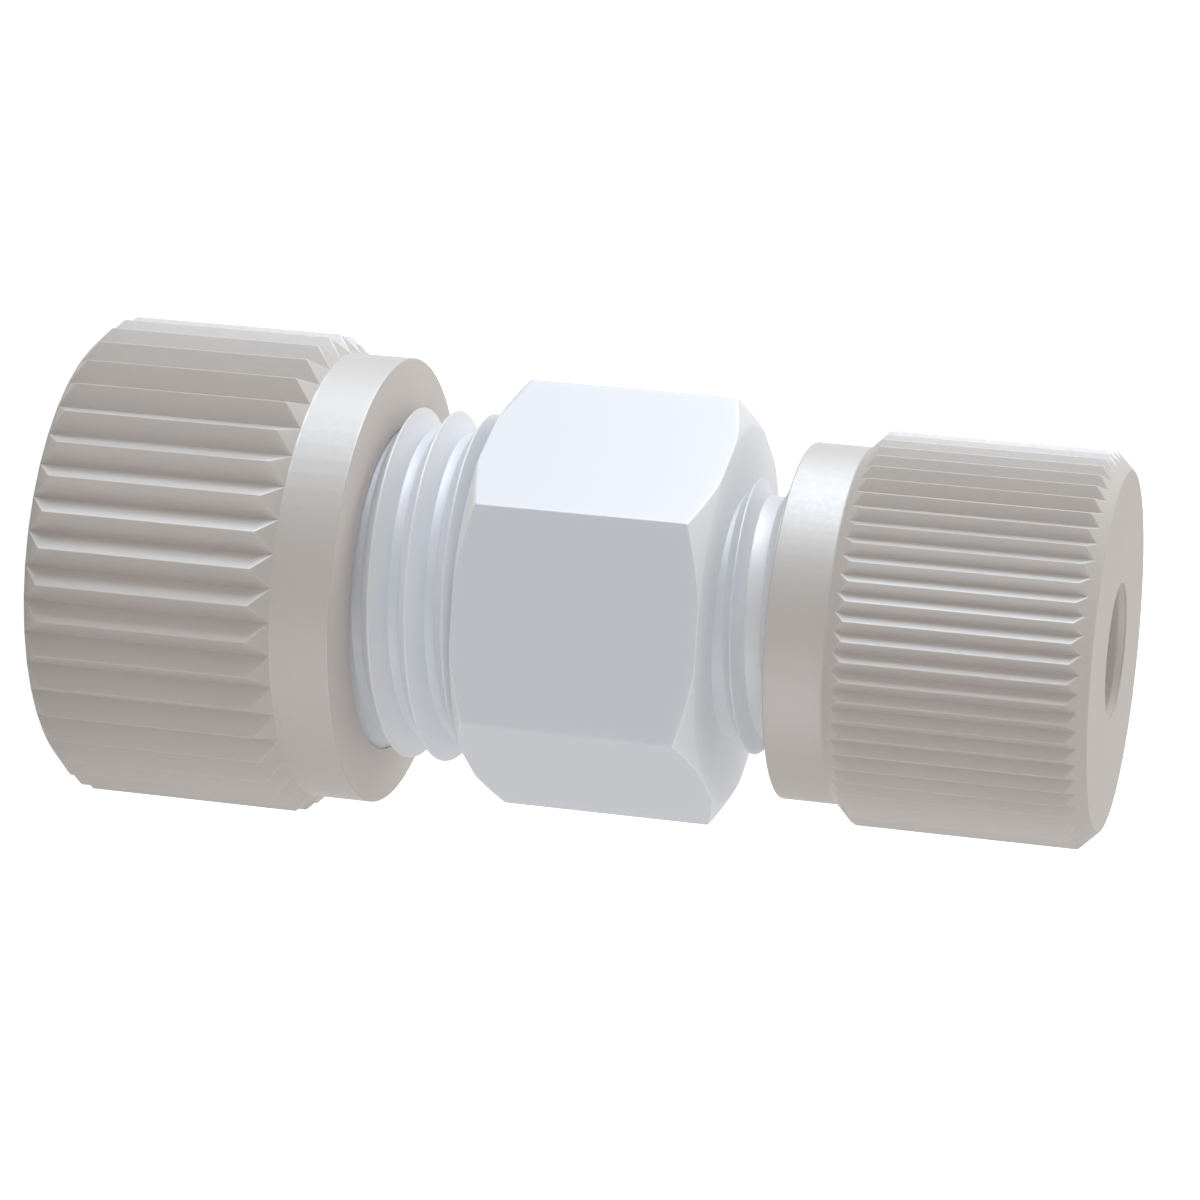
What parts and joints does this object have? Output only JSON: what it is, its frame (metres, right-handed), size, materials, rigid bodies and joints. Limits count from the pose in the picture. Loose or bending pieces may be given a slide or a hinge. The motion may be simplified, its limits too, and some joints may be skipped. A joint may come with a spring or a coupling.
{
  "type": "reducing union",
  "caption": "Straight tubing union with a hexagonal body, rounded-crest threads and knurled union nuts of different sizes, with a clamping ferrule in each nut.",
  "frame": {"origin": "centre of the wide nut's flat end face, on which the union stands", "axes": "+Z along the tube axis from the wide nut to the narrow nut, +X through one corner of the hexagon, +Y out of one flat of the hexagon"},
  "size_m": [0.0312, 0.0312, 0.0672],
  "materials": {
    "filled_plastic": "moulded and turned, warm grey, satin",
    "fluoropolymer": "turned fluoropolymer, bluish white, slightly translucent, softly glossy",
    "ferrule_plastic": "turned fluoropolymer, white"
  },
  "bodies": {
    "large_nut": {"large_union_nut": "filled_plastic"},
    "large_ferrule": {"large_ferrule": "ferrule_plastic"},
    "body": {"union_body": "fluoropolymer"},
    "small_ferrule": {"small_ferrule": "ferrule_plastic"},
    "small_nut": {"small_union_nut": "filled_plastic"}
  },
  "joints": [
    {"name": "large_nut_turn", "type": "hinge", "parent": "large_nut", "child": "large_ferrule", "pos_m": [0, 0, 0], "axis": [0, 0, 1], "range_deg": [0, 1800]},
    {"name": "large_nut_travel", "type": "slide", "parent": "large_ferrule", "child": "body", "axis": [0, 0, 1], "range_m": [0, 0.012]},
    {"name": "small_nut_travel", "type": "slide", "parent": "body", "child": "small_ferrule", "axis": [0, 0, 1], "range_m": [0, 0.012]},
    {"name": "small_nut_turn", "type": "hinge", "parent": "small_ferrule", "child": "small_nut", "pos_m": [0, 0, 0.06725], "axis": [0, 0, 1], "range_deg": [0, 1800]}
  ],
  "couplings": [
    {"joint": "large_nut_travel", "follows": "large_nut_turn", "m_per_rad": 0.00038197},
    {"joint": "small_nut_travel", "follows": "small_nut_turn", "m_per_rad": 0.00038197}
  ]
}
